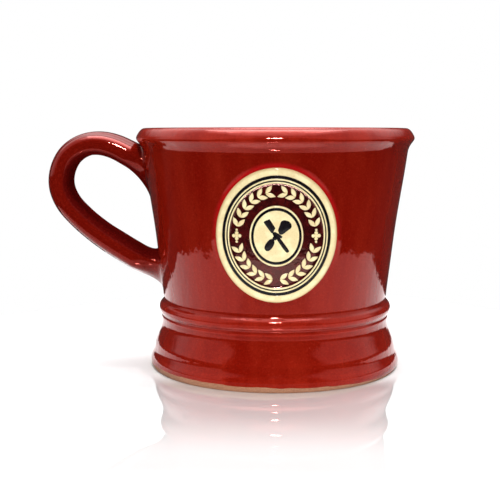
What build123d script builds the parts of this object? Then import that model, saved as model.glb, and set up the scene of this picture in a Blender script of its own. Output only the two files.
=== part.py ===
"""Stoneware shaving mug: thrown cup, strap handle and stamped oval medallion.

Millimetres. The origin is on the cup's axis, on the plane that the foot ring rests on.
+Z is up, the medallion faces -Y and the handle reaches out to -X.
"""
from build123d import *
import os
from math import atan2, cos, degrees, radians, sin

os.makedirs("parts", exist_ok=True)

# ---------------------------------------------------------------- driving dimensions

# Cup, as radius and height of each station on its outside, from the foot up
foot_corner = (47.7, 0.0)
foot_edge = (48.35, 0.8)
foot_bead = (48.9, 2.7)
crease = (47.25, 6.8)
skirt_middle = (46.2, 12.3)
skirt_top = (44.3, 19.3)
ridge = (44.9, 20.1)
groove = (43.85, 20.9)
waist_bead = (45.5, 23.3)
bead_top = (43.95, 26.0)
wall_foot = (43.7, 27.7)
wall_low = (45.1, 40.0)
wall_middle = (47.4, 58.8)
wall_high = (49.35, 71.2)
wall_top = (51.2, 83.8)
cove = (51.9, 86.1)
lip_under = (53.5, 88.15)
lip_nose = (54.0, 89.0)
lip_over = (53.5, 89.9)
lip_shoulder = (52.4, 91.7)
lip_crest = (50.4, 93.0)

# Cup, inside
lip_inner = (47.4, 91.2)
throat = (46.5, 87.0)
inner_high = (44.6, 71.2)
inner_low = (40.6, 40.0)
inner_foot = (39.1, 24.0)
floor_corner = (38.8, 14.0)
floor_height = 9.5
floor_radius = 35.5

# Foot ring and the recess under the cup
foot_ring_inner = 41.5
foot_recess_radius = 40.0
foot_recess_depth = 2.5

# Handle: the strap's middle line in the XZ plane, from inside the wall over the top and back
strap_line = [
    (-44.5, 78.1),
    (-56.6, 83.0),
    (-68.2, 86.9),
    (-79.2, 82.8),
    (-83.9, 73.4),
    (-80.2, 62.7),
    (-68.6, 51.4),
    (-43.0, 36.2),
]
strap_reach = 90.0
strap_width = 20.0
strap_thickness = 9.2
strap_corner = 4.1

# Clay smeared at the handle's two ends: the outer slope of each in XZ, its width and its round tip
upper_tip = 62.2
upper_wedge_line = [(-60.5, 80.6), (-52.3, 71.0), (-46.9, upper_tip)]
upper_wedge_back = (-60.5, 84.0)
upper_wedge_root = 77.0
upper_wedge_top = 82.0
upper_wedge_width = 17.0
upper_tip_radius = 4.0
upper_rounding = 3.0
lower_tip = 26.8
lower_tail_line = [(-54.5, 38.3), (-48.6, 35.2), (-46.4, 31.0), (-43.2, lower_tip)]
lower_tail_back = (-54.5, 43.0)
lower_tail_root = 35.5
lower_tail_top = 42.0
lower_tail_width = 16.0
lower_tip_radius = 3.5
lower_rounding = 1.5
joint_root = -40.0
joint_face = -44.0

# Medallion: half-width and half-height of its oval, seen from the front, and its place
oval_half_width = 21.3
oval_half_height = 23.9
oval_x = 0.6
oval_z = 55.9
oval_reach = 60.0

# Medallion rings, as shares of the oval's half-width and half-height
border_inner = 0.888
black_line_inner = 0.846
upper_ring_inner = 0.818
thin_line_inner = 0.802
field_edge = 0.775

# Heights of the medallion's levels over the cup's wall
disc_floor = 1.0
field_level = 1.2
line_level = 1.5
relief_level = 1.7
root = 0.4

# Leaves in the band between the field's edge and the panel
leaf_ring = 0.65
leaf_length = 3.8
leaf_width = 1.6
leaf_tilt = 34.0
leaf_pairs = 6
leaf_span = 62.0
top_gap = 16.0
bottom_gap = 5.0

# Sprigs at the sides of the field: radii of their round lobes, and how far out the lobes lie
sprig_lobe = 0.75
sprig_lobe_out = 1.0
sprig_bud = 0.5
sprig_bud_out = 2.1

# Centre panel, an upright oval with a line round it
panel_half_width = 9.4
panel_half_height = 10.8
panel_line_outer = 0.93
panel_line_inner = 0.85
emblem_depth = 0.25

# Shaving brush and straight razor crossed on the panel, each drawn upright from where they cross
emblem_lean = 36.0
bristle_corner = (2.6, 5.6)
bristle_top = (0.0, 6.9)
bristle_root = (1.4, 1.5)
ferrule_size = (3.6, 1.0)
ferrule_corner = 0.4
ferrule_z = 0.8
grip_half_width = 1.5
grip_half_height = 3.2
grip_z = -3.1
blade_size = (2.7, 5.4)
blade_corner = 0.5
blade_place = (0.6, 4.2)
scale_size = (1.5, 9.0)
scale_corner = 0.7
scale_z = -2.6


# ---------------------------------------------------------------- shared outlines

def wall_line(out=0.0):
    """The cup's wall between waist bead and lip, moved out by a given distance."""
    stations = [wall_foot, wall_low, wall_middle, wall_high, wall_top]
    return Spline([(radius + out, height) for radius, height in stations])


def outside_line():
    """The cup's outside from the foot's corner to the crest of the lip."""
    Line(foot_corner, foot_edge)
    ThreePointArc(foot_edge, foot_bead, crease)
    Spline([crease, skirt_middle, skirt_top], tangents=[(0.2, 1), (0, 1)])
    ThreePointArc(skirt_top, ridge, groove)
    ThreePointArc(groove, waist_bead, bead_top)
    Spline([bead_top, wall_foot], tangents=[(-0.5, 1), (0.05, 1)])
    wall_line()
    Spline([wall_top, cove, lip_under], tangents=[(0.15, 1), (0.75, 0.66)])
    ThreePointArc(lip_under, lip_nose, lip_over)
    Spline([lip_over, lip_shoulder, lip_crest], tangents=[(-0.45, 0.9), (-1, 0)])


def inside_line():
    """The cup's inside from the crest of the lip down to the floor's edge."""
    Spline([lip_crest, lip_inner, throat], tangents=[(-1, 0), (-0.1, -1)])
    Spline([throat, inner_high, inner_low, inner_foot])
    Line(inner_foot, floor_corner)
    Spline([floor_corner, (floor_radius, floor_height)], tangents=[(0, -1), (-1, 0)])


def oval(share, half_width=oval_half_width, half_height=oval_half_height, mode=Mode.ADD):
    """An upright oval in the active sketch, scaled by a share of its full size."""
    Ellipse(half_width * share, half_height * share, mode=mode)


def keep_layer(low, high):
    """Cuts the active part down to the layer between two heights over the cup's wall."""
    with BuildSketch(Plane.XZ) as strip:
        with BuildLine():
            inner = wall_line(low)
            outer = wall_line(high)
            Line(inner @ 0, outer @ 0)
            Line(inner @ 1, outer @ 1)
        make_face()
    revolve(strip.sketch, mode=Mode.INTERSECT)


def cut_away(tool):
    """Cuts a neighbouring piece out of the active part, so that the two meet face to face."""
    add(tool.part, mode=Mode.SUBTRACT)


# ---------------------------------------------------------------- cup

with BuildPart() as cup_envelope:
    with BuildSketch(Plane.XZ):
        with BuildLine():
            outside_line()
            Polyline(lip_crest, (0, lip_crest[1]), (0, 0), foot_corner)
        make_face()
    revolve()

with BuildPart() as cup_body:
    with BuildSketch(Plane.XZ):
        with BuildLine():
            outside_line()
            inside_line()
            Polyline(
                (floor_radius, floor_height),
                (0, floor_height),
                (0, foot_recess_depth),
                (foot_recess_radius, foot_recess_depth),
                (foot_ring_inner, 0),
                foot_corner,
            )
        make_face()
    revolve()
cup_body.part.label = "cup_body"
export_step(cup_body.part, "parts/cup_body.step")


# ---------------------------------------------------------------- handle and its joint clay

with BuildPart() as handle:
    with BuildLine(Plane.XZ) as strap_path:
        Spline(strap_line)
    with BuildSketch(Plane(origin=strap_path.line @ 0, x_dir=(0, 1, 0), z_dir=strap_path.line % 0)):
        RectangleRounded(strap_width, strap_thickness, strap_corner)
    sweep(path=strap_path.line)
    cut_away(cup_envelope)
handle.part.label = "handle"
export_step(handle.part, "parts/handle.step")


def outer_curves(clay):
    """The curved edges of a joint's clay that show outside the wall."""
    curves = clay.edges().filter_by(GeomType.BSPLINE)
    return curves.filter_by_position(Axis.X, -strap_reach, joint_face)


def trim_to_tongue(width, top, tip, tip_radius):
    """Trims the active part to a tongue seen from the side: broad at the top, round at its tip."""
    with BuildSketch(Plane.YZ) as tongue:
        with Locations((0, top)):
            Rectangle(width, 2 * tip_radius)
        with Locations((0, tip + tip_radius)):
            Circle(tip_radius)
        make_hull()
    extrude(tongue.sketch, amount=-2 * lip_nose[0], mode=Mode.INTERSECT)


with BuildPart() as upper_joint_clay:
    with BuildSketch(Plane.XZ):
        with BuildLine():
            slope = Spline(upper_wedge_line, tangents=[(0.9, -0.45), (0.35, -1)])
            Polyline(
                slope @ 1,
                (joint_root, upper_tip),
                (joint_root, upper_wedge_root),
                upper_wedge_back,
                slope @ 0,
            )
        make_face()
    extrude(amount=upper_wedge_width, both=True)
    trim_to_tongue(upper_wedge_width, upper_wedge_top, upper_tip, upper_tip_radius)
    fillet(outer_curves(upper_joint_clay), upper_rounding)
    cut_away(handle)
    cut_away(cup_envelope)
upper_joint_clay.part.label = "upper_joint_clay"
export_step(upper_joint_clay.part, "parts/upper_joint_clay.step")

with BuildPart() as lower_joint_clay:
    with BuildSketch(Plane.XZ):
        with BuildLine():
            slope = Spline(lower_tail_line, tangents=[(0.85, -0.5), (0.5, -1)])
            Polyline(
                slope @ 1,
                (joint_root, lower_tip),
                (joint_root, lower_tail_root),
                lower_tail_back,
                slope @ 0,
            )
        make_face()
    extrude(amount=lower_tail_width, both=True)
    trim_to_tongue(lower_tail_width, lower_tail_top, lower_tip, lower_tip_radius)
    fillet(outer_curves(lower_joint_clay), lower_rounding)
    cut_away(handle)
    cut_away(cup_envelope)
lower_joint_clay.part.label = "lower_joint_clay"
export_step(lower_joint_clay.part, "parts/lower_joint_clay.step")


# ---------------------------------------------------------------- medallion

def leaf(base_x, base_z, direction):
    """One pointed leaf of the wreath, from its base along a direction in degrees."""
    with Locations(Location((base_x, base_z, 0), (0, 0, direction))):
        with BuildSketch(mode=Mode.PRIVATE) as blade:
            with BuildLine():
                ThreePointArc((0, 0), (leaf_length / 2, leaf_width / 2), (leaf_length, 0))
                ThreePointArc((0, 0), (leaf_length / 2, -leaf_width / 2), (leaf_length, 0))
            make_face()
        add(blade.sketch)


def wreath():
    """Pairs of leaves that follow the oval above and below its middle, all growing upwards."""
    for first_angle in (-90 + bottom_gap, 90 - top_gap - leaf_span):
        for number in range(leaf_pairs):
            turn = radians(first_angle + leaf_span * number / (leaf_pairs - 1))
            x = oval_half_width * leaf_ring * cos(turn)
            z = oval_half_height * leaf_ring * sin(turn)
            tangent = degrees(atan2(oval_half_height * cos(turn), -oval_half_width * sin(turn)))
            leaf(x, z, tangent + leaf_tilt)
            leaf(x, z, tangent - leaf_tilt)
    mirror(about=Plane.YZ)


def sprigs():
    """A small cross of round lobes at each side of the field, with a bud above and below it."""
    for side in (-1, 1):
        with Locations((side * oval_half_width * leaf_ring, 0)):
            Circle(sprig_lobe)
            with PolarLocations(sprig_lobe_out, 4):
                Circle(sprig_lobe)
            with Locations((0, sprig_bud_out), (0, -sprig_bud_out)):
                Circle(sprig_bud)


def brush():
    """A plain shaving brush: a fan of bristle over a ferrule and a turned grip."""
    corner_x, corner_z = bristle_corner
    root_x, root_z = bristle_root
    with BuildSketch(mode=Mode.PRIVATE) as figure:
        with BuildLine():
            tip = ThreePointArc((-corner_x, corner_z), bristle_top, (corner_x, corner_z))
            Polyline(tip @ 1, (root_x, root_z), (-root_x, root_z), tip @ 0)
        make_face()
        with Locations((0, ferrule_z)):
            RectangleRounded(*ferrule_size, ferrule_corner)
        with Locations((0, grip_z)):
            Ellipse(grip_half_width, grip_half_height)
    return figure.sketch


def razor():
    """A plain straight razor: a broad blade opened out over its long scales."""
    with BuildSketch(mode=Mode.PRIVATE) as figure:
        with Locations(blade_place):
            RectangleRounded(*blade_size, blade_corner)
        with Locations((0, scale_z)):
            RectangleRounded(*scale_size, scale_corner)
    return figure.sketch


def emblem():
    """The brush leaning right across the razor leaning left."""
    with Locations(Location((0, 0, 0), (0, 0, -emblem_lean))):
        add(brush())
    with Locations(Location((0, 0, 0), (0, 0, emblem_lean))):
        add(razor())


centre = Plane(origin=(oval_x, 0, oval_z), x_dir=(1, 0, 0), z_dir=(0, -1, 0))

with BuildPart() as raised_rings:
    with BuildSketch(centre):
        oval(1)
        oval(border_inner, mode=Mode.SUBTRACT)
        oval(black_line_inner)
        oval(upper_ring_inner, mode=Mode.SUBTRACT)
        oval(thin_line_inner)
        oval(field_edge, mode=Mode.SUBTRACT)
    extrude(amount=oval_reach)
    keep_layer(root, relief_level)

with BuildPart() as medallion_disc:
    with BuildSketch(centre):
        oval(1)
    extrude(amount=oval_reach)
    keep_layer(0, disc_floor)
    add(raised_rings.part)
medallion_disc.part.label = "medallion_disc"
export_step(medallion_disc.part, "parts/medallion_disc.step")

with BuildPart() as outer_line_glaze:
    with BuildSketch(centre):
        oval(border_inner)
        oval(black_line_inner, mode=Mode.SUBTRACT)
    extrude(amount=oval_reach)
    keep_layer(disc_floor, line_level)
outer_line_glaze.part.label = "outer_line_glaze"
export_step(outer_line_glaze.part, "parts/outer_line_glaze.step")

with BuildPart() as inner_line_glaze:
    with BuildSketch(centre):
        oval(upper_ring_inner)
        oval(thin_line_inner, mode=Mode.SUBTRACT)
    extrude(amount=oval_reach)
    keep_layer(disc_floor, line_level)
inner_line_glaze.part.label = "inner_line_glaze"
export_step(inner_line_glaze.part, "parts/inner_line_glaze.step")

with BuildPart() as wreath_leaves:
    with BuildSketch(centre):
        wreath()
    extrude(amount=oval_reach)
    keep_layer(disc_floor, relief_level)
wreath_leaves.part.label = "wreath_leaves"
export_step(wreath_leaves.part, "parts/wreath_leaves.step")

with BuildPart() as side_sprigs:
    with BuildSketch(centre):
        sprigs()
    extrude(amount=oval_reach)
    keep_layer(disc_floor, relief_level)
side_sprigs.part.label = "side_sprigs"
export_step(side_sprigs.part, "parts/side_sprigs.step")

with BuildPart() as panel_recess:
    with BuildSketch(centre):
        oval(panel_line_outer, panel_half_width, panel_half_height)
        oval(panel_line_inner, panel_half_width, panel_half_height, mode=Mode.SUBTRACT)
        emblem()
    extrude(amount=oval_reach)
    keep_layer(relief_level - emblem_depth, relief_level + root)

with BuildPart() as centre_panel:
    with BuildSketch(centre):
        oval(1, panel_half_width, panel_half_height)
    extrude(amount=oval_reach)
    keep_layer(disc_floor, relief_level)
    cut_away(panel_recess)
centre_panel.part.label = "centre_panel"
export_step(centre_panel.part, "parts/centre_panel.step")

with BuildPart() as panel_line_glaze:
    with BuildSketch(centre):
        oval(panel_line_outer, panel_half_width, panel_half_height)
        oval(panel_line_inner, panel_half_width, panel_half_height, mode=Mode.SUBTRACT)
    extrude(amount=oval_reach)
    keep_layer(relief_level - emblem_depth, relief_level)
panel_line_glaze.part.label = "panel_line_glaze"
export_step(panel_line_glaze.part, "parts/panel_line_glaze.step")

with BuildPart() as emblem_glaze:
    with BuildSketch(centre):
        emblem()
    extrude(amount=oval_reach)
    keep_layer(relief_level - emblem_depth, relief_level)
emblem_glaze.part.label = "emblem_glaze"
export_step(emblem_glaze.part, "parts/emblem_glaze.step")

with BuildPart() as field_glaze:
    with BuildSketch(centre):
        oval(field_edge)
        oval(1, panel_half_width, panel_half_height, mode=Mode.SUBTRACT)
    extrude(amount=oval_reach)
    keep_layer(disc_floor, field_level)
    cut_away(wreath_leaves)
    cut_away(side_sprigs)
field_glaze.part.label = "field_glaze"
export_step(field_glaze.part, "parts/field_glaze.step")
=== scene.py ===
"""The looks of a stoneware shaving mug: glazed cup, pulled strap handle and stamped medallion.

Metres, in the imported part's own frame: +Z up, the medallion faces -Y, the handle points to -X.
"""
import math

import bpy
import numpy as np
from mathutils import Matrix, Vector


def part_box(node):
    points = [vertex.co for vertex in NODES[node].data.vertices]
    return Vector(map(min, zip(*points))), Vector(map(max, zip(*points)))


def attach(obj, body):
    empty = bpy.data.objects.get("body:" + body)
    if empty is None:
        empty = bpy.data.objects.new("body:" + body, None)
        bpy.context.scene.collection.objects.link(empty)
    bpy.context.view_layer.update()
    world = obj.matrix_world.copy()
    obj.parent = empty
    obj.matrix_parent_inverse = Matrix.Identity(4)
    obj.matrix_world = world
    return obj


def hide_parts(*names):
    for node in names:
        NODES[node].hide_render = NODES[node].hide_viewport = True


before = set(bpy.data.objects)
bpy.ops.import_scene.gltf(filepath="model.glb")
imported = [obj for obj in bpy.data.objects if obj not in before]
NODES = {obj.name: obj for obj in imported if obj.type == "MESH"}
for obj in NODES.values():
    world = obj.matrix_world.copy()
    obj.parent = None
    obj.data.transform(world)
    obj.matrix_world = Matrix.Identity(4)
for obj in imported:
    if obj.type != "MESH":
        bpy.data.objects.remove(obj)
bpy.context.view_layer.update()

MM = 0.001


# ---------------------------------------------------------------- meshes

def add_mesh(name, points, faces, smooth=True):
    """A new object in the scene from numpy points and a list of faces."""
    mesh = bpy.data.meshes.new(name)
    mesh.from_pydata([tuple(p) for p in points], [], faces)
    mesh.validate()
    mesh.polygons.foreach_set("use_smooth", [smooth] * len(mesh.polygons))
    piece = bpy.data.objects.new(name, mesh)
    bpy.context.scene.collection.objects.link(piece)
    return piece


def grid_faces(rows, columns, closed=True, flip=False):
    """Quads of a grid of points whose columns run round a ring, if it is closed."""
    faces = []
    for i in range(rows - 1):
        for j in range(columns if closed else columns - 1):
            k = (j + 1) % columns
            quad = (i * columns + j, i * columns + k, (i + 1) * columns + k, (i + 1) * columns + j)
            faces.append(quad[::-1] if flip else quad)
    return faces


def point_values(piece, name, values):
    """Stores one number for each point of a piece, for its material to read."""
    layer = piece.data.attributes.new(name, "FLOAT", "POINT")
    layer.data.foreach_set("value", np.asarray(values, dtype=np.float32))


def place(piece, node, material):
    """Puts a piece on the mug in place of its CAD node."""
    piece.name = node + "_look"
    piece.data.materials.append(material)
    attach(piece, "root")
    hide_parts(node)


# ---------------------------------------------------------------- the cup's outline, from the frame

def meridian(node):
    """The cup's outline in the XZ half-plane, walked along the CAD surface's seam.

    Returns the chains of (radius, height) points, longest first.
    """
    mesh = NODES[node].data
    points = np.array([v.co for v in mesh.vertices])
    on_seam = (np.abs(points[:, 1]) < 2e-6) & (points[:, 0] > 0)
    key = [tuple(np.round(p[[0, 2]] * 1e6).astype(int)) for p in points]
    links = {}
    for edge in mesh.edges:
        a, b = edge.vertices
        if on_seam[a] and on_seam[b] and key[a] != key[b]:
            links.setdefault(key[a], set()).add(key[b])
            links.setdefault(key[b], set()).add(key[a])
    chains = []
    while links:
        ends = [k for k, near in links.items() if len(near) == 1]
        here = min(ends) if ends else min(links)
        chain = [here]
        while True:
            near = links.pop(here)
            near = [k for k in near if k in links]
            for k in near:
                links[k].discard(here)
            if not near:
                break
            here = near[0]
            chain.append(here)
        chains.append(np.array(chain) * 1e-6)
    return sorted(chains, key=len, reverse=True)


def evenly(points, step):
    """Points at an even spacing along a smooth curve through the given ones (centripetal Catmull-Rom)."""
    ends = np.vstack([2 * points[0] - points[1], points, 2 * points[-1] - points[-2]])
    curve = []
    for p0, p1, p2, p3 in zip(ends, ends[1:], ends[2:], ends[3:]):
        gaps = [max(np.linalg.norm(b - a), 1e-9) ** 0.5 for a, b in ((p0, p1), (p1, p2), (p2, p3))]
        t1, t2, t3 = np.cumsum(gaps)
        t = np.linspace(t1, t2, 1 + max(2, int(np.linalg.norm(p2 - p1) / step * 2)))[:-1, None]
        a1 = (t1 - t) / t1 * p0 + t / t1 * p1
        a2 = (t2 - t) / (t2 - t1) * p1 + (t - t1) / (t2 - t1) * p2
        a3 = (t3 - t) / (t3 - t2) * p2 + (t - t2) / (t3 - t2) * p3
        b1 = (t2 - t) / t2 * a1 + t / t2 * a2
        b2 = (t3 - t) / (t3 - t1) * a2 + (t - t1) / (t3 - t1) * a3
        curve.append((t2 - t) / (t2 - t1) * b1 + (t - t1) / (t2 - t1) * b2)
    curve = np.vstack(curve + [points[-1:]])
    along = np.concatenate([[0], np.cumsum(np.linalg.norm(np.diff(curve, axis=0), axis=1))])
    even = np.linspace(0, along[-1], int(along[-1] / step) + 1)
    return np.column_stack([np.interp(even, along, curve[:, i]) for i in range(curve.shape[1])])


def soften(curve, reach):
    """Rounds a curve of evenly spaced points by averaging over a few neighbours, keeping its ends."""
    width = int(3 * reach)
    weights = np.exp(-0.5 * (np.arange(-width, width + 1) / reach) ** 2)
    weights /= weights.sum()
    padded = np.vstack([np.repeat(curve[:1], width, 0), curve, np.repeat(curve[-1:], width, 0)])
    out = np.column_stack([np.convolve(padded[:, i], weights, "valid") for i in range(curve.shape[1])])
    out[0], out[-1] = curve[0], curve[-1]
    return out


def blend_outlines(sharp, round_off):
    """The sharper outline on the plain walls, the rounder one at the lip, waist ridge and foot."""
    heights = [0, 2.5, 4.5, 9, 12, 17, 18.5, 21, 22.5, 84, 86.5, 93]
    shares = [0, 0, 1, 1, 0, 0, 0.8, 0.8, 0, 0, 0.9, 0.9]
    share = np.interp(sharp[:, 1] / MM, heights, shares)
    return sharp + (round_off - sharp) * share[:, None]


CHAIN = meridian("cup_body")[0]
CHAIN = CHAIN if CHAIN[0][1] > CHAIN[-1][1] else CHAIN[::-1]
FOOT = int(np.argmax(CHAIN[:, 1] < 1e-6))
RECESS = CHAIN[FOOT + 1:]
OUTLINE_STEP = 0.25 * MM
OUTLINE = evenly(CHAIN[:FOOT + 1], OUTLINE_STEP)
OUTLINE = blend_outlines(soften(OUTLINE, 1.6), soften(OUTLINE, 4.0))
TOP = int(np.argmax(OUTLINE[:, 1]))
OUTSIDE = OUTLINE[TOP:]
HEIGHT = float(OUTLINE[TOP, 1])


def wall_radius(z):
    """The cup's outside radius at a height between the foot and the lip."""
    return np.interp(z, OUTSIDE[::-1, 1], OUTSIDE[::-1, 0])


def wall_slope(z):
    """How fast the outside radius grows with height."""
    return (wall_radius(z + 0.5 * MM) - wall_radius(z - 0.5 * MM)) / MM


# ---------------------------------------------------------------- the medallion's place and sizes

oval_low, oval_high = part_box("medallion_disc")
OVAL_X = (oval_low[0] + oval_high[0]) / 2
OVAL_Z = (oval_low[2] + oval_high[2]) / 2
HALF_WIDTH = (oval_high[0] - oval_low[0]) / 2
HALF_HEIGHT = (oval_high[2] - oval_low[2]) / 2
panel_low, panel_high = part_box("centre_panel")
PANEL_X = (panel_high[0] - panel_low[0]) / 2
PANEL_Z = (panel_high[2] - panel_low[2]) / 2
# heights over the wall: the disc's raised parts, its recessed field, and the foot of each raised figure
RELIEF = 1.7 * MM
FLOOR = 1.0 * MM
FIGURE_FOOT = 1.1 * MM


# ---------------------------------------------------------------- materials

class Graph:
    """Short calls that add nodes to one material and join them; most return the new node's output."""

    def __init__(self, name):
        self.material = bpy.data.materials.new(name)
        self.material.use_nodes = True
        self.nodes = self.material.node_tree.nodes
        self.links = self.material.node_tree.links
        self.shader = self.nodes["Principled BSDF"]
        self.output = self.nodes["Material Output"]

    def join(self, source, target):
        self.links.new(source, target)

    def put(self, socket, value):
        """Links an output to the socket, or sets the socket to a plain value."""
        if hasattr(value, "is_linked"):
            self.links.new(value, socket)
        else:
            socket.default_value = value

    def add(self, kind, **settings):
        node = self.nodes.new(kind)
        for key, value in settings.items():
            setattr(node, key, value)
        return node

    def position(self):
        return self.add("ShaderNodeTexCoord").outputs["Object"]

    def value(self, name):
        """The number stored at each point of the piece under this name, by point_values."""
        return self.add("ShaderNodeAttribute", attribute_name=name).outputs["Fac"]

    def stretch(self, vector, scale):
        node = self.add("ShaderNodeMapping")
        self.put(node.inputs["Vector"], vector)
        node.inputs["Scale"].default_value = scale
        return node.outputs["Vector"]

    def noise(self, vector, scale, detail=3.0, rough=0.5, warp=0.0):
        node = self.add("ShaderNodeTexNoise")
        self.put(node.inputs["Vector"], vector)
        node.inputs["Scale"].default_value = scale
        node.inputs["Detail"].default_value = detail
        node.inputs["Roughness"].default_value = rough
        node.inputs["Distortion"].default_value = warp
        return node.outputs["Fac"]

    def math(self, operation, a, b=0.0, c=0.0):
        node = self.add("ShaderNodeMath", operation=operation)
        self.put(node.inputs[0], a)
        self.put(node.inputs[1], b)
        if len(node.inputs) > 2:
            self.put(node.inputs[2], c)
        return node.outputs[0]

    def ramp(self, value, low, high, start=0.0, end=1.0):
        """Goes smoothly from start to end while value goes from low to high."""
        node = self.add("ShaderNodeMapRange", interpolation_type="SMOOTHSTEP")
        self.put(node.inputs["Value"], value)
        node.inputs["From Min"].default_value = low
        node.inputs["From Max"].default_value = high
        node.inputs["To Min"].default_value = start
        node.inputs["To Max"].default_value = end
        return node.outputs["Result"]

    def mix(self, factor, a, b):
        node = self.add("ShaderNodeMix", data_type="RGBA")
        self.put(node.inputs["Factor"], factor)
        self.put(node.inputs["A"], a)
        self.put(node.inputs["B"], b)
        return node.outputs["Result"]

    def bump(self, height, strength, distance, normal=None):
        node = self.add("ShaderNodeBump")
        self.put(node.inputs["Height"], height)
        node.inputs["Strength"].default_value = strength
        node.inputs["Distance"].default_value = distance
        if normal is not None:
            self.put(node.inputs["Normal"], normal)
        return node.outputs["Normal"]

    def split(self, vector):
        """The x, y and z of a vector."""
        node = self.add("ShaderNodeSeparateXYZ")
        self.put(node.inputs[0], vector)
        return node.outputs

    def oval_reach(self, x, z):
        """How high up the medallion a point is (-1 to 1), and its share of the full oval."""
        across = self.math("MULTIPLY_ADD", x, 1 / HALF_WIDTH, -OVAL_X / HALF_WIDTH)
        up = self.math("MULTIPLY_ADD", z, 1 / HALF_HEIGHT, -OVAL_Z / HALF_HEIGHT)
        squares = self.math("ADD", self.math("MULTIPLY", across, across), self.math("MULTIPLY", up, up))
        return up, self.math("SQRT", squares)


DEEP_RED = (0.153, 0.0036, 0.0010, 1)
WARM_RED = (0.192, 0.0080, 0.0026, 1)
THIN_RED = (0.400, 0.0220, 0.0100, 1)
BRIGHT_RED = (0.420, 0.0070, 0.0080, 1)
PIT_RED = (0.360, 0.0500, 0.0300, 1)
LIGHT_FLECK = (0.330, 0.0220, 0.0120, 1)
DARK_FLECK = (0.060, 0.0010, 0.0006, 1)
STRAP_RED = (0.110, 0.0028, 0.0010, 1)
SHADED_RED = (0.082, 0.0024, 0.0018, 1)
RED_TINT = (1.0, 0.17, 0.14, 1)
RED_GLOSS = 0.62
RED_COAT = 0.05
BARE_CLAY = (0.230, 0.115, 0.062, 1)
PALE_GRIT = (0.34, 0.19, 0.11, 1)
PALE_CREAM = (0.74, 0.61, 0.33, 1)
LIGHT_CREAM = (0.87, 0.77, 0.46, 1)
TAN_EDGE = (0.50, 0.30, 0.12, 1)
DEEP_BLACK = (0.004, 0.004, 0.005, 1)
WARM_BLACK = (0.012, 0.009, 0.011, 1)
DEEP_MAROON = (0.020, 0.0015, 0.0022, 1)
WARM_MAROON = (0.060, 0.004, 0.004, 1)
MAROON_TINT = (1, 0.5, 0.45, 1)
NO_TINT = (1, 1, 1, 1)


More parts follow.
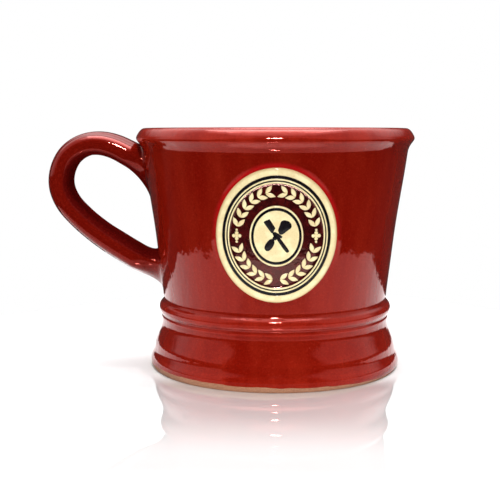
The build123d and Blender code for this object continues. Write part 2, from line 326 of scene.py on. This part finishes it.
def red_glaze(name, on_strap=False):
    """Deep glossy red glaze that breaks brighter where it is thin, over tan clay left bare at the foot.

    On the strap it also darkens and loses its shine on the inner face, which looks into the shaded wall.
    """
    g = Graph(name)
    where = g.position()
    x, y, z = g.split(where)
    drips = g.noise(g.stretch(where, (1, 1, 0.16)), 95, 4.0, 0.55)
    clouds = g.noise(where, 34, 3.0, 0.5)
    colour = g.mix(g.ramp(drips, 0.35, 0.68), DEEP_RED, WARM_RED)
    colour = g.mix(g.math("MULTIPLY", g.ramp(clouds, 0.4, 0.75), 0.35), colour, WARM_RED)
    if on_strap:
        colour = g.mix(0.85, colour, STRAP_RED)
        colour = g.mix(g.value("inside"), colour, SHADED_RED)
    thin = g.math("MULTIPLY", g.value("thin"), g.ramp(drips, 0.2, 0.7, 0.10, 0.35))
    colour = g.mix(thin, colour, THIN_RED)
    # the glaze stands up in a thin bright rim against the medallion, most of all over its top
    up, reach = g.oval_reach(x, z)
    rim = g.math("MULTIPLY", g.ramp(reach, 1.015, 1.10, 1.0, 0.0), g.ramp(y, -0.025, -0.020, 1.0, 0.0))
    rim = g.math("MULTIPLY", rim, g.ramp(up, -0.7, 0.9, 0.12, 1.0))
    colour = g.mix(rim, colour, BRIGHT_RED)
    pits = g.add("ShaderNodeTexVoronoi", feature="F1")
    g.put(pits.inputs["Vector"], where)
    pits.inputs["Scale"].default_value = 420
    pit = g.math("MULTIPLY", g.ramp(pits.outputs["Distance"], 0.05, 0.10, 1.0, 0.0),
                 g.ramp(g.noise(where, 130, 1.0), 0.66, 0.70))
    colour = g.mix(g.math("MULTIPLY", pit, 0.7), colour, PIT_RED)
    fleck = g.noise(where, 1500, 3.0, 0.7)
    colour = g.mix(g.ramp(fleck, 0.50, 0.72, 0.0, 0.30), colour, LIGHT_FLECK)
    colour = g.mix(g.ramp(fleck, 0.30, 0.46, 0.34, 0.0), colour, DARK_FLECK)

    # the glaze stops short of the foot, along a line that dips to the right and wanders a little
    line = g.math("MULTIPLY_ADD", x, -0.016, 1.55 * MM)
    line = g.math("MULTIPLY_ADD", y, -0.010, line)
    wander = g.noise(g.stretch(where, (1, 1, 0.1)), 120, 2.0)
    wander = g.math("MULTIPLY_ADD", wander, 1.2 * MM, -0.6 * MM)
    bare = g.ramp(g.math("SUBTRACT", g.math("ADD", line, wander), z), -0.10 * MM, 0.12 * MM)
    grit = g.noise(where, 2600, 4.0, 0.7)
    clay = g.mix(g.ramp(grit, 0.35, 0.7), BARE_CLAY, PALE_GRIT)
    colour = g.mix(bare, colour, clay)
    g.put(g.shader.inputs["Base Color"], colour)
    glassy = g.ramp(clouds, 0.3, 0.7, 0.03, 0.06)
    g.put(g.shader.inputs["Roughness"], g.math("MULTIPLY_ADD", bare, 0.66, glassy))
    g.shader.inputs["IOR"].default_value = 1.56
    g.shader.inputs["Specular IOR Level"].default_value = RED_GLOSS
    g.shader.inputs["Specular Tint"].default_value = RED_TINT
    g.shader.inputs["Coat Weight"].default_value = RED_COAT
    if on_strap:
        shine = g.math("MULTIPLY_ADD", g.value("inside"), -1.0, 1.0)
        g.put(g.shader.inputs["Specular IOR Level"], g.math("MULTIPLY", shine, RED_GLOSS))
        g.put(g.shader.inputs["Coat Weight"], g.math("MULTIPLY", shine, RED_COAT))
    g.shader.inputs["Coat Roughness"].default_value = 0.04

    ripple = g.noise(g.stretch(where, (1, 1, 0.22)), 190, 3.0, 0.5, 0.4)
    dimples = g.noise(g.stretch(where, (1, 1, 0.6)), 300, 2.0, 0.5)
    peel = g.noise(where, 900, 2.0, 0.5)
    normal = g.bump(ripple, 0.40, 0.50 * MM)
    normal = g.bump(dimples, 0.35, 0.18 * MM, normal)
    normal = g.bump(peel, 0.10, 0.02 * MM, normal)
    normal = g.bump(pit, 0.5, -0.06 * MM, normal)
    normal = g.bump(rim, 0.8, 0.8 * MM, normal)
    normal = g.bump(g.math("MULTIPLY", grit, bare), 0.5, 0.10 * MM, normal)
    g.put(g.shader.inputs["Normal"], normal)
    return g.material


def coloured_glaze(name, dark, light, roughness, ripple_height, gloss, tint=NO_TINT):
    """A glassy glaze with slow changes of colour and a slightly uneven surface."""
    g = Graph(name)
    where = g.position()
    cloud = g.noise(where, 260, 4.0, 0.6)
    speck = g.noise(where, 1900, 3.0, 0.65)
    colour = g.mix(g.ramp(cloud, 0.35, 0.7), dark, light)
    colour = g.mix(g.ramp(speck, 0.62, 0.72, 0.0, 0.25), colour, dark)
    g.put(g.shader.inputs["Base Color"], colour)
    g.put(g.shader.inputs["Roughness"], g.ramp(speck, 0.3, 0.7, roughness, roughness * 1.7))
    g.shader.inputs["IOR"].default_value = 1.52
    g.shader.inputs["Specular IOR Level"].default_value = gloss
    g.shader.inputs["Specular Tint"].default_value = tint
    normal = g.bump(g.noise(where, 520, 2.0), 0.35, ripple_height)
    g.put(g.shader.inputs["Normal"], normal)
    return g.material


def pale_clay_glaze():
    """The medallion's clear glaze over pale clay, stained where it breaks over edges."""
    g = Graph("pale_glaze")
    where = g.position()
    x, _, z = g.split(where)
    _, reach = g.oval_reach(x, z)
    cloud = g.noise(where, 240, 4.0, 0.6)
    speck = g.noise(where, 1700, 3.0, 0.7)
    colour = g.mix(g.ramp(cloud, 0.35, 0.70), PALE_CREAM, LIGHT_CREAM)
    colour = g.mix(g.ramp(speck, 0.56, 0.74, 0.0, 0.35), colour, TAN_EDGE)
    edge = g.math("MAXIMUM", g.ramp(reach, 0.945, 0.995), g.ramp(reach, 0.890, 0.915, 0.55, 0.0))
    edge = g.math("MULTIPLY", edge, g.ramp(cloud, 0.30, 0.65, 0.30, 0.75))
    edge = g.math("MULTIPLY", edge, g.ramp(reach, 0.8885, 0.8895))
    colour = g.mix(edge, colour, TAN_EDGE)
    g.put(g.shader.inputs["Base Color"], colour)
    g.put(g.shader.inputs["Roughness"], g.ramp(speck, 0.3, 0.7, 0.10, 0.18))
    g.shader.inputs["IOR"].default_value = 1.50
    g.shader.inputs["Specular IOR Level"].default_value = 0.35
    normal = g.bump(g.noise(where, 420, 3.0), 0.40, 0.06 * MM)
    g.put(g.shader.inputs["Normal"], normal)
    return g.material


def on_wall(x, z, height):
    """The point that stands a given height over the cup's front wall, seen at (x, z) from the front."""
    radius = wall_radius(z) + height
    return np.stack(np.broadcast_arrays(x, -np.sqrt(np.maximum(radius**2 - x**2, 0)), z), axis=-1)


def oval_sheet(name, shares, heights, half_width=HALF_WIDTH, half_height=HALF_HEIGHT, columns=256):
    """Oval rings joined into a sheet over the wall: each is a share of the full oval at its own height."""
    turn = np.linspace(0, 2 * np.pi, columns, endpoint=False)
    rows = []
    for share, height in zip(shares, heights):
        x = OVAL_X + half_width * share * np.cos(turn)
        z = OVAL_Z + half_height * share * np.sin(turn)
        rows.append(on_wall(x, z, height))
    return add_mesh(name, np.vstack(rows), grid_faces(len(rows), columns, flip=True))


def bevelled(levels, radius, scale=HALF_WIDTH):
    """Shares and heights of a stepped profile whose corners are rounded.

    levels is a list of (share, height) corners; each corner becomes a short arc.
    """
    corners = [np.array((share * scale, height)) for share, height in levels]
    out = [corners[0]]
    for before, corner, after in zip(corners, corners[1:], corners[2:]):
        a = before - corner
        b = after - corner
        reach = min(radius, np.linalg.norm(a) * 0.45, np.linalg.norm(b) * 0.45)
        p = corner + a / np.linalg.norm(a) * reach
        q = corner + b / np.linalg.norm(b) * reach
        for t in (0, 0.2, 0.4, 0.6, 0.8, 1.0):
            out.append((1 - t) ** 2 * p + 2 * t * (1 - t) * corner + t**2 * q)
    out.append(corners[-1])
    out = np.array(out)
    return out[:, 0] / scale, out[:, 1]


# ---------------------------------------------------------------- cup

def lathe_rows():
    """The cup's whole outline from the middle of the floor round to the middle of the underside."""
    rows = [OUTLINE[0] * (share, 1) for share in (0.0, 0.25, 0.5, 0.75)]
    last = None
    for i, point in enumerate(OUTLINE):
        before, after = OUTLINE[max(i - 2, 0)], OUTLINE[min(i + 2, len(OUTLINE) - 1)]
        bend = np.linalg.norm(before + after - 2 * point)
        # long steps on the straight walls, short ones round the bends
        gap = 1.1 * MM if bend < 0.004 * MM else 0.5 * MM if bend < 0.02 * MM else 0.25 * MM
        if last is None or np.linalg.norm(point - last) >= gap * 0.98 or i == len(OUTLINE) - 1:
            rows.append(point)
            last = point
    rows += list(RECESS)
    rows += [RECESS[-1] * (share, 1) for share in (0.66, 0.33, 0.0)]
    return np.array(rows)


CUP_COLUMNS = 288
# an edge bent this much (one over its radius in metres) has the thinnest glaze; the flat ends have none
SHARPEST_BEND = 420.0
FLOOR_ROWS = 6
UNDERSIDE_ROWS = 8


def thin_glaze(rows):
    """How thin the glaze runs at each row of the outline: it draws back from edges that stick out."""
    before = np.roll(rows, 1, axis=0)
    after = np.roll(rows, -1, axis=0)
    a = rows - before
    b = after - rows
    cross = a[:, 0] * b[:, 1] - a[:, 1] * b[:, 0]
    lengths = np.linalg.norm(a, axis=1) * np.linalg.norm(b, axis=1)
    bend = -cross / (lengths * (np.linalg.norm(a + b, axis=1) / 2) + 1e-15)
    thin = np.clip(bend / SHARPEST_BEND, 0, 1)
    thin[:FLOOR_ROWS] = 0
    thin[-UNDERSIDE_ROWS:] = 0
    return thin


def build_cup(material):
    """The thrown cup, very slightly out of round."""
    rows = lathe_rows()
    turn = np.linspace(0, 2 * np.pi, CUP_COLUMNS, endpoint=False)
    points = []
    for radius, height in rows:
        lean = 0.0011 * np.sin(2 * turn + 0.7) * height / HEIGHT
        waves = 0.0004 * np.sin(5 * turn + height * 60)
        x = radius * (1 + lean + waves) * np.cos(turn)
        y = radius * (1 + lean + waves) * np.sin(turn)
        points.append(np.column_stack([x, y, np.full(CUP_COLUMNS, height)]))
    cup = add_mesh("cup_body", np.vstack(points), grid_faces(len(rows), CUP_COLUMNS, flip=True))
    point_values(cup, "thin", np.repeat(thin_glaze(rows), CUP_COLUMNS))
    place(cup, "cup_body", material)


# ---------------------------------------------------------------- handle

# the strap's middle line as (x, z), from under the lip over the top and down to the wall
STRAP_LINE = np.array([
    (-56.6, 82.8),
    (-62.0, 85.5),
    (-68.0, 86.9),
    (-74.3, 86.1),
    (-79.9, 82.6),
    (-83.2, 76.8),
    (-83.9, 70.4),
    (-81.5, 64.0),
    (-76.1, 57.8),
    (-68.7, 51.6),
    (-60.7, 46.3),
    (-54.6, 42.6),
]) * MM
STRAP_COLUMNS = 72
STRAP_ANGLES = np.linspace(0, 2 * np.pi, STRAP_COLUMNS, endpoint=False)
JOINT_RINGS = 14
JOINT_SINK = 1.2 * MM


def strap_section(angle, half_width, half_thickness):
    """One point of the strap's cross-section, as its distances across and out from the middle line.

    The outer side is rounder and has two soft grooves; the inner side is flatter and a little hollow.
    """
    c, s = math.cos(angle), math.sin(angle)
    power = 2.5 if s > 0 else 3.2
    across = half_width * math.copysign(abs(c) ** (2 / power), c)
    out = half_thickness * math.copysign(abs(s) ** (2 / power), s)
    if s > 0:
        out -= 0.35 * MM * math.exp(-((abs(across) / half_width - 0.62) / 0.16) ** 2)
    else:
        out += 0.55 * MM * math.exp(-((across / half_width) / 0.45) ** 2)
    return across, out


def joint_print(kind, angle):
    """Where the joint's edge lies on the wall for one angle of the strap's section, as (y, z)."""
    c, s = math.cos(angle), math.sin(angle)
    # in mm: the print's middle height, half its width, and how far it reaches up and down from the middle
    if kind == "upper":
        middle, half_width, up, down = 77.5, 11.6, 9.3, 16.0
        lift = s
    else:
        middle, half_width, up, down = 40.3, 11.2, 6.6, 12.5
        lift = -s
    reach = up if lift > 0 else down
    narrow = 1.0 if lift > 0 else 1 - 0.62 * abs(lift) ** 1.4
    return half_width * narrow * c * MM, (middle + reach * lift) * MM


def wall_point(y, z):
    """The point of the wall at (y, z) on the handle's side."""
    return np.array((-math.sqrt(max(wall_radius(z)**2 - y**2, 0)), y, z))


def hermite(p, q, out_p, out_q, t):
    """A point on the curve from p to q that leaves p along out_p and arrives along out_q."""
    return (
        (2 * t**3 - 3 * t**2 + 1) * p
        + (t**3 - 2 * t**2 + t) * out_p
        + (3 * t**2 - 2 * t**3) * q
        + (t**3 - t**2) * out_q
    )


def spread(kind, ring, direction):
    """Rings from the strap's end to its print on the wall, and a last one sunk into the wall."""
    steps = np.linspace(0, 1, JOINT_RINGS + 1)[1:]
    middle = wall_point(0, joint_print(kind, 0.0)[1])
    columns = []
    for start, angle in zip(ring, STRAP_ANGLES):
        y, z = joint_print(kind, angle)
        end = wall_point(y, z)
        edge = wall_point(*joint_print(kind, angle + 0.02)) - wall_point(*joint_print(kind, angle - 0.02))
        normal = np.array((end[0], end[1], -float(wall_slope(z)) * math.hypot(end[0], end[1])))
        normal /= np.linalg.norm(normal)
        outward = np.cross(edge, normal)
        outward /= max(np.linalg.norm(outward), 1e-12)
        if np.dot(outward, end - middle) < 0:
            outward = -outward
        gap = np.linalg.norm(end - start)
        column = [hermite(start, end, direction * gap, outward * gap * 1.15, t) for t in steps]
        columns.append(column + [end - normal * JOINT_SINK])
    return [np.array(ring) for ring in zip(*columns)]


def strap_rings():
    """The strap's rings, and those of its two ends spread over the wall."""
    line = soften(evenly(STRAP_LINE, 0.9 * MM), 1.5)
    along = np.linspace(0, 1, len(line))
    way = np.gradient(line, axis=0)
    way /= np.linalg.norm(way, axis=1)[:, None]
    rings = []
    for (x, z), (dx, dz), t in zip(line, way, along):
        half_width = (10.3 - 0.9 * math.sin(math.pi * t) + 0.5 * t) * MM
        half_thickness = (5.0 - 0.45 * math.sin(math.pi * min(t * 1.15, 1)) ** 0.7 - 0.2 * t) * MM
        # the strap runs from the upper joint outwards, so its outer side is to the line's right
        section = [strap_section(angle, half_width, half_thickness) for angle in STRAP_ANGLES]
        rings.append(np.array([(x + out * dz, across, z - out * dx) for across, out in section]))
    upper = spread("upper", rings[0], np.array((-way[0][0], 0, -way[0][1])))
    lower = spread("lower", rings[-1], np.array((way[-1][0], 0, way[-1][1])))
    return rings, upper, lower


def build_handle(material):
    """The strap and its two joints, with normals taken from the whole handle so that no seam shows."""
    rings, upper, lower = strap_rings()
    whole_rings = upper[::-1] + rings + lower
    whole = add_mesh("whole", np.vstack(whole_rings), grid_faces(len(whole_rings), STRAP_COLUMNS, flip=True))
    normals = np.array([v.normal[:] for v in whole.data.vertices])
    # the columns that face the wall where the strap stands furthest out are its inner face all along
    outermost = STRAP_COLUMNS * int(np.argmin([np.mean(ring[:, 0]) for ring in whole_rings]))
    inside = np.clip((normals[outermost:outermost + STRAP_COLUMNS, 0] - 0.35) / 0.30, 0, 1)
    first, last = len(upper), len(upper) + len(rings)
    parts = {
        "upper_joint_clay": (0, first + 1),
        "handle": (first, last),
        "lower_joint_clay": (last - 1, len(whole_rings)),
    }
    bpy.data.objects.remove(whole)
    for name, (start, end) in parts.items():
        count = end - start
        piece = add_mesh(name, np.vstack(whole_rings[start:end]), grid_faces(count, STRAP_COLUMNS, flip=True))
        chosen = normals[start * STRAP_COLUMNS:end * STRAP_COLUMNS]
        piece.data.normals_split_custom_set_from_vertices([tuple(n) for n in chosen])
        point_values(piece, "thin", np.zeros(count * STRAP_COLUMNS))
        point_values(piece, "inside", np.tile(inside, count))
        place(piece, name, material)


# ---------------------------------------------------------------- medallion

def build_medallion(pale, black, maroon):
    """The disc with its raised rings and grooves, the glazes that fill them, and the figures on it."""
    inner_groove = 1.2 * MM
    outer_groove = 1.1 * MM
    levels = [
        (0.0, FLOOR), (0.772, FLOOR), (0.776, RELIEF), (0.798, RELIEF),
        (0.802, inner_groove), (0.818, inner_groove), (0.822, RELIEF), (0.842, RELIEF),
        (0.846, outer_groove), (0.888, outer_groove), (0.892, RELIEF), (0.985, RELIEF * 0.96),
        (1.0, 0.9 * MM), (1.0, -0.3 * MM),
    ]
    place(oval_sheet("medallion_disc", *bevelled(levels, 0.22 * MM)), "medallion_disc", pale)

    outer_low, outer_top = 1.15 * MM, 1.55 * MM
    levels = [(0.8445, outer_low), (0.8450, outer_top), (0.8892, outer_top), (0.8897, outer_low)]
    place(oval_sheet("outer_line_glaze", *bevelled(levels, 0.1 * MM)), "outer_line_glaze", black)
    inner_low, inner_top = 1.25 * MM, 1.55 * MM
    levels = [(0.8008, inner_low), (0.8012, inner_top), (0.8188, inner_top), (0.8192, inner_low)]
    place(oval_sheet("inner_line_glaze", *bevelled(levels, 0.05 * MM)), "inner_line_glaze", black)

    # the field's glaze lies flat and climbs a little at its edge
    shares = np.concatenate([[0.0], np.linspace(0.05, 0.75, 24), [0.762, 0.770, 0.7735]])
    heights = np.concatenate([np.full(25, 1.2), [1.24, 1.33, 1.42]]) * MM
    place(oval_sheet("field_glaze", shares, heights), "field_glaze", maroon)

    build_wreath(pale)
    build_sprigs(pale)
    build_panel(pale, black)


LEAF_RING = 0.65
LEAF_LENGTH = 3.75 * MM
LEAF_WIDTH = 1.65 * MM
LEAF_TILT = math.radians(34)
LEAF_PAIRS = 6
LEAF_STARTS = (-85, 12)
LEAF_SPAN = 62


def leaf_stations():
    """Base point and tangent of each pair of leaves on the right-hand side."""
    for first in LEAF_STARTS:
        for number in range(LEAF_PAIRS):
            turn = math.radians(first + LEAF_SPAN * number / (LEAF_PAIRS - 1))
            x = HALF_WIDTH * LEAF_RING * math.cos(turn)
            z = HALF_HEIGHT * LEAF_RING * math.sin(turn)
            yield x, z, math.atan2(HALF_HEIGHT * math.cos(turn), -HALF_WIDTH * math.sin(turn))


def dome(outline_of, rings, columns, top, foot):
    """Points of a low dome: outline_of(share, angle) gives (x, z), and its height falls from top to foot."""
    points = []
    for i in range(rings):
        share = i / (rings - 1)
        height = foot + (top - foot) * (1 - share**3.2)
        for j in range(columns):
            x, z = outline_of(share, 2 * math.pi * j / columns)
            points.append((x, z, height))
    return points, grid_faces(rings, columns, flip=True)


def leaf_outline(base_x, base_z, direction, mirror):
    """A pointed leaf as a function of (share of full size, angle)."""
    along = np.array((math.cos(direction), math.sin(direction)))
    across = np.array((-along[1], along[0]))

    def outline(share, angle):
        t = 0.5 - 0.5 * math.cos(angle)
        side = math.sin(angle)
        half = LEAF_WIDTH / 2 * math.sin(math.pi * t) ** 0.85 * (1.12 - 0.24 * t)
        point = np.array((base_x, base_z)) + along * LEAF_LENGTH * (0.5 + (t - 0.5) * share)
        point = point + across * half * share * math.copysign(1, side) * (1 if abs(side) > 1e-9 else 0)
        return mirror * point[0], point[1]

    return outline


def raised(name, shapes, material):
    """One piece made of several low domes over the wall."""
    points, faces = [], []
    for outline, rings, columns, top, foot, flip in shapes:
        these, quads = dome(outline, rings, columns, top, foot)
        start = len(points)
        points += these
        for quad in quads:
            quad = tuple(start + k for k in quad)
            faces.append(quad[::-1] if flip else quad)
    flat = np.array(points)
    placed = on_wall(OVAL_X + flat[:, 0], OVAL_Z + flat[:, 1], flat[:, 2])
    place(add_mesh(name, placed, faces), name, material)


def build_wreath(material):
    """Pairs of leaves up both sides of the field."""
    shapes = []
    for x, z, tangent in leaf_stations():
        for tilt in (LEAF_TILT, -LEAF_TILT):
            for mirror in (1, -1):
                outline = leaf_outline(x, z, tangent + tilt, mirror)
                shapes.append((outline, 7, 28, RELIEF, FIGURE_FOOT, mirror < 0))
    raised("wreath_leaves", shapes, material)


def round_outline(x, z, radius):
    """A disc as a function of (share of full size, angle)."""
    def outline(share, angle):
        return x + radius * share * math.cos(angle), z + radius * share * math.sin(angle)

    return outline


# each sprig's lobes and buds in mm, as x, z and radius
SPRIG = [(0, 0, 0.75), (1, 0, 0.7), (-1, 0, 0.7), (0, 1, 0.7), (0, -1, 0.7), (0, 2.1, 0.48), (0, -2.1, 0.48)]


def build_sprigs(material):
    """One sprig at each side, between the two rows of leaves."""
    shapes = []
    for side in (-1, 1):
        middle = side * HALF_WIDTH * LEAF_RING
        for x, z, size in SPRIG:
            outline = round_outline(middle + x * MM, z * MM, size * MM)
            shapes.append((outline, 6, 24, RELIEF, FIGURE_FOOT, False))
    raised("side_sprigs", shapes, material)


PANEL_COLUMNS = 160


def build_panel(pale, black):
    """The raised oval panel with a groove near its edge, the black line in it and the emblem on top."""
    inner, outer = 0.845, 0.93
    groove = 1.42 * MM
    levels = [
        (0.0, RELIEF), (inner - 0.01, RELIEF), (inner, groove), (outer, groove), (outer + 0.01, RELIEF),
        (0.99, RELIEF * 0.98), (1.0, FIGURE_FOOT),
    ]
    profile = bevelled(levels, 0.15 * MM, PANEL_X)
    panel = oval_sheet("centre_panel", *profile, PANEL_X, PANEL_Z, PANEL_COLUMNS)
    place(panel, "centre_panel", pale)
    low, top = 1.45 * MM, 1.64 * MM
    levels = [(inner - 0.004, low), (inner - 0.002, top), (outer + 0.002, top), (outer + 0.004, low)]
    profile = bevelled(levels, 0.1 * MM, PANEL_X)
    line = oval_sheet("panel_line_glaze", *profile, PANEL_X, PANEL_Z, PANEL_COLUMNS)
    place(line, "panel_line_glaze", black)
    build_emblem(black)


def turned(outline, angle):
    """An outline given in mm, in metres and leaning over about the middle of the panel."""
    c, s = math.cos(angle), math.sin(angle)

    def leaning(share, around):
        x, z = outline(share, around)
        return (x * c + z * s) * MM, (z * c - x * s) * MM

    return leaning


def bar(x, z, half_width, half_height, power):
    """A rounded bar, squarer for a lower power."""
    def outline(share, angle):
        c, s = math.cos(angle), math.sin(angle)
        across = half_width * share * math.copysign(abs(c) ** power, c)
        return x + across, z + half_height * share * math.copysign(abs(s) ** power, s)

    return outline


def bristle(share, angle):
    """The brush's bristle: narrow at the ferrule, flared and rounded at the tip."""
    c, s = math.cos(angle), math.sin(angle)
    across = math.copysign(abs(c) ** 0.45, c)
    up = 0.5 + 0.5 * math.copysign(abs(s) ** 0.45, s)
    flare = 1.35 + 1.35 * up**1.3
    height = 1.35 + (5.55 - 0.95 * across**2 * up) * up
    return flare * share * across, 3.6 + (height - 3.6) * share


# the two tools upright, in mm from the middle of the panel
TOOL_LEAN = math.radians(36)
FERRULE = bar(0, 0.80, 1.8, 0.48, 0.4)
NECK = bar(0, -0.75, 0.85, 0.85, 0.7)
GRIP = bar(0, -3.75, 1.45, 2.45, 0.85)
BRUSH = [bristle, FERRULE, NECK, GRIP]
BLADE = bar(0.6, 4.25, 1.32, 2.55, 0.22)
SCALES = bar(0, -2.6, 0.72, 4.45, 0.45)
RAZOR = [BLADE, SCALES]


def build_emblem(material):
    """A shaving brush crossed with a straight razor, drawn in dark glaze."""
    top = RELIEF + 0.05 * MM
    foot = RELIEF - 0.03 * MM
    outlines = [turned(shape, TOOL_LEAN) for shape in BRUSH]
    outlines += [turned(shape, -TOOL_LEAN) for shape in RAZOR]
    raised("emblem_glaze", [(outline, 4, 44, top, foot, False) for outline in outlines], material)


# ---------------------------------------------------------------- stage, light and camera

# a disc set back behind the mug, whose far corners are cut along slanting lines
BOARD_RADIUS = 0.205
BOARD_SHIFT = 0.033
BOARD_CUT = 0.238
BOARD_SLANT = 1.12
BOARD_COLUMNS = 180
BOARD_WHITE = (0.90, 0.90, 0.90, 1)
BOARD_BRIGHT = (0.93, 0.93, 0.93, 1)


def build_stage():
    """A round white board with its back corners cut off, polished on a patch in front of the mug.

    The patch fades towards the camera and ends beside the foot.
    """
    turn = np.linspace(0, 2 * np.pi, BOARD_COLUMNS, endpoint=False)
    across = BOARD_RADIUS * np.cos(turn)
    back = BOARD_SHIFT + BOARD_RADIUS * np.sin(turn)
    rim = np.column_stack([across, back, np.zeros(BOARD_COLUMNS)])
    reach = np.abs(across) + BOARD_SLANT * back
    rim *= np.where(reach > BOARD_CUT, BOARD_CUT / np.maximum(reach, 1e-9), 1)[:, None]
    board = add_mesh("board", rim, [tuple(range(BOARD_COLUMNS))], smooth=False)
    g = Graph("board")
    x, y, _ = g.split(g.position())
    grain = g.noise(g.position(), 40, 2.0)
    g.put(g.shader.inputs["Base Color"], g.mix(grain, BOARD_WHITE, BOARD_BRIGHT))
    g.shader.inputs["Roughness"].default_value = 0.9
    g.shader.inputs["Specular IOR Level"].default_value = 0.0
    sheen = g.add("ShaderNodeBsdfGlossy")
    sheen.inputs["Roughness"].default_value = 0.02
    blend = g.add("ShaderNodeMixShader")
    # the board is so brightly lit that a sheen much under 0.44 doesn't show, so the patch ends soon after
    ahead = g.math("MULTIPLY", g.ramp(y, -0.165, -0.125), g.ramp(y, -0.118, -0.070, 0.44, 0.665))
    sides = g.ramp(g.math("ABSOLUTE", x), 0.046, 0.066, 1.0, 0.0)
    within = g.math("MULTIPLY", sides, g.ramp(y, -0.040, -0.020, 1.0, 0.0))
    g.put(blend.inputs["Fac"], g.math("MULTIPLY", ahead, within))
    g.join(g.shader.outputs["BSDF"], blend.inputs[1])
    g.join(sheen.outputs["BSDF"], blend.inputs[2])
    g.join(blend.outputs["Shader"], g.output.inputs["Surface"])
    board.data.materials.append(g.material)
    return board


def area_light(name, location, target, size, watts):
    """A white rectangular lamp that faces a target."""
    light = bpy.data.lights.new(name, "AREA")
    light.shape = "RECTANGLE"
    light.size, light.size_y = size
    light.energy = watts
    lamp = bpy.data.objects.new(name, light)
    lamp.location = location
    lamp.rotation_euler = (Vector(target) - Vector(location)).to_track_quat("-Z", "Y").to_euler()
    bpy.context.scene.collection.objects.link(lamp)
    return lamp


def build_light(board):
    """A white studio: soft light from all round, with a dark front and a bright back in its reflections."""
    world = bpy.data.worlds.new("studio")
    bpy.context.scene.world = world
    world.use_nodes = True
    nodes, links = world.node_tree.nodes, world.node_tree.links
    nodes.clear()

    def background(strength):
        node = nodes.new("ShaderNodeBackground")
        node.inputs["Color"].default_value = (1, 1, 1, 1)
        node.inputs["Strength"].default_value = strength
        return node

    def ramp(value, low, high, start, end):
        node = nodes.new("ShaderNodeMapRange")
        node.interpolation_type = "SMOOTHSTEP"
        links.new(value, node.inputs["Value"])
        for key, number in (("From Min", low), ("From Max", high), ("To Min", start), ("To Max", end)):
            node.inputs[key].default_value = number
        return node.outputs["Result"]

    def combine(operation, a, b):
        node = nodes.new("ShaderNodeMath")
        node.operation = operation
        links.new(a, node.inputs[0])
        links.new(b, node.inputs[1])
        return node.outputs[0]

    def choose(factor, first, second):
        node = nodes.new("ShaderNodeMixShader")
        links.new(factor, node.inputs["Fac"])
        links.new(first, node.inputs[1])
        links.new(second, node.inputs[2])
        return node.outputs["Shader"]

    output = nodes.new("ShaderNodeOutputWorld")
    where = nodes.new("ShaderNodeTexCoord")
    axis = nodes.new("ShaderNodeSeparateXYZ")
    links.new(where.outputs["Generated"], axis.inputs[0])
    y, z = axis.outputs["Y"], axis.outputs["Z"]
    # what the glaze mirrors: a bright back, lit sides above the table and a strong light overhead
    back = combine("MULTIPLY", ramp(y, -0.05, 0.30, 0.0, 1.0), ramp(z, 0.25, 0.60, 0.04, 1.4))
    sides = combine("MULTIPLY", ramp(y, 0.20, 0.50, 1.0, 0.0), ramp(z, 0.03, 0.10, 0.0, 1.0))
    sides = combine("MULTIPLY", ramp(y, -0.72, -0.58, 0.0, 1.0), sides)
    above = ramp(z, 0.80, 0.95, 0.02, 5.0)
    mirrored = background(1.0)
    strength = combine("MAXIMUM", combine("MAXIMUM", back, sides), above)
    links.new(strength, mirrored.inputs["Strength"])
    path = nodes.new("ShaderNodeLightPath")
    lit = choose(path.outputs["Is Diffuse Ray"], mirrored.outputs[0], background(0.6).outputs[0])
    seen = choose(path.outputs["Is Camera Ray"], lit, background(1.0).outputs[0])
    links.new(seen, output.inputs["Surface"])

    middle = (0, 0, 0.05)
    area_light("overhead", (0, 0.10, 0.75), (0, 0, 0), (0.6, 0.5), 4.6)
    area_light("flash", (0.01, -0.62, 0.60), middle, (0.07, 0.03), 3.0)
    glint = area_light("glint", (0.01, -0.63, 0.61), middle, (0.09, 0.045), 7.0)
    glint.visible_diffuse = False
    # two lights for the board alone: one lifts it to white, the other is the bright card that it mirrors
    sun = bpy.data.lights.new("wash", "SUN")
    sun.energy = 0.35
    sun.cycles.cast_shadow = False
    wash = bpy.data.objects.new("wash", sun)
    bpy.context.scene.collection.objects.link(wash)
    card = area_light("card", (0, 0.45, 0.19), (0, 0, 0.19), (1.0, 0.38), 1.2)
    card.visible_camera = False
    only_board = bpy.data.collections.new("only the board")
    only_board.objects.link(board)
    card.light_linking.receiver_collection = only_board
    wash.light_linking.receiver_collection = only_board


def build_camera():
    """A short telephoto a little above the lip, with the mug slightly right of the middle."""
    camera = bpy.data.cameras.new("camera")
    camera.sensor_width = 36
    camera.lens = 73.7
    camera.clip_start, camera.clip_end = 0.02, 20
    eye = bpy.data.objects.new("camera", camera)
    eye.location = (0, -0.4007, 0.0958)
    down, left = math.radians(7.22), math.radians(1.39)
    ahead = Vector((-math.sin(left) * math.cos(down), math.cos(left) * math.cos(down), -math.sin(down)))
    eye.rotation_mode = "QUATERNION"
    eye.rotation_quaternion = ahead.to_track_quat("-Z", "Y")
    bpy.context.scene.collection.objects.link(eye)
    bpy.context.scene.camera = eye
    bpy.context.scene.view_settings.view_transform = "Standard"


build_camera()
build_light(build_stage())
red = red_glaze("red_glaze")
strap_red = red_glaze("strap_red_glaze", on_strap=True)
pale_glaze = pale_clay_glaze()
black_glaze = coloured_glaze("black_glaze", DEEP_BLACK, WARM_BLACK, 0.08, 0.02 * MM, 0.2)
maroon_glaze = coloured_glaze("maroon_glaze", DEEP_MAROON, WARM_MAROON, 0.05, 0.11 * MM, 0.8, MAROON_TINT)
build_cup(red)
build_handle(strap_red)
build_medallion(pale_glaze, black_glaze, maroon_glaze)
